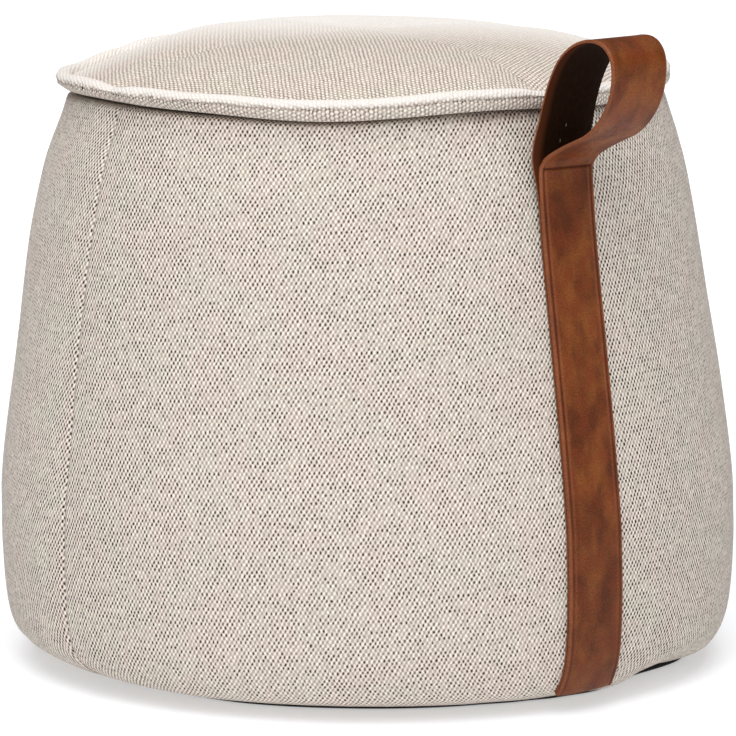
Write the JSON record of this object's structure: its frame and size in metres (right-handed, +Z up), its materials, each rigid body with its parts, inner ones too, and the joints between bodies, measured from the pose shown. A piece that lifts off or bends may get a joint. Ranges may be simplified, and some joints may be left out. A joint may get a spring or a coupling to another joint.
{
  "type": "round pouf stool with a leather strap handle",
  "caption": "Round filled pouf of woven oatmeal cloth, widest low down, with a crowned top, a rolled rim and a tan leather strap that ends in an open carrying loop.",
  "frame": {"origin": "centre of the flat underside, on the floor", "axes": "+Z up; the strap handle lies on the -Y side, in the plane X = 0"},
  "size_m": [0.458, 0.5038, 0.4128],
  "materials": {
    "oatmeal_weave": "coarse matte plain weave in mixed oatmeal yarn",
    "tan_leather": "satin waxed leather, slightly mottled",
    "base_cloth": "matte black base cloth"
  },
  "bodies": {
    "root": {"base_cloth": "base_cloth", "side_panel_back_right": "oatmeal_weave", "side_panel_back_left": "oatmeal_weave", "side_panel_front_left": "oatmeal_weave", "side_panel_front_right": "oatmeal_weave", "rim_facing": "oatmeal_weave", "top_panel_back_right": "oatmeal_weave", "top_panel_back_left": "oatmeal_weave", "top_panel_front_left": "oatmeal_weave", "top_panel_front_right": "oatmeal_weave", "strap": "tan_leather"}
  },
  "joints": []
}
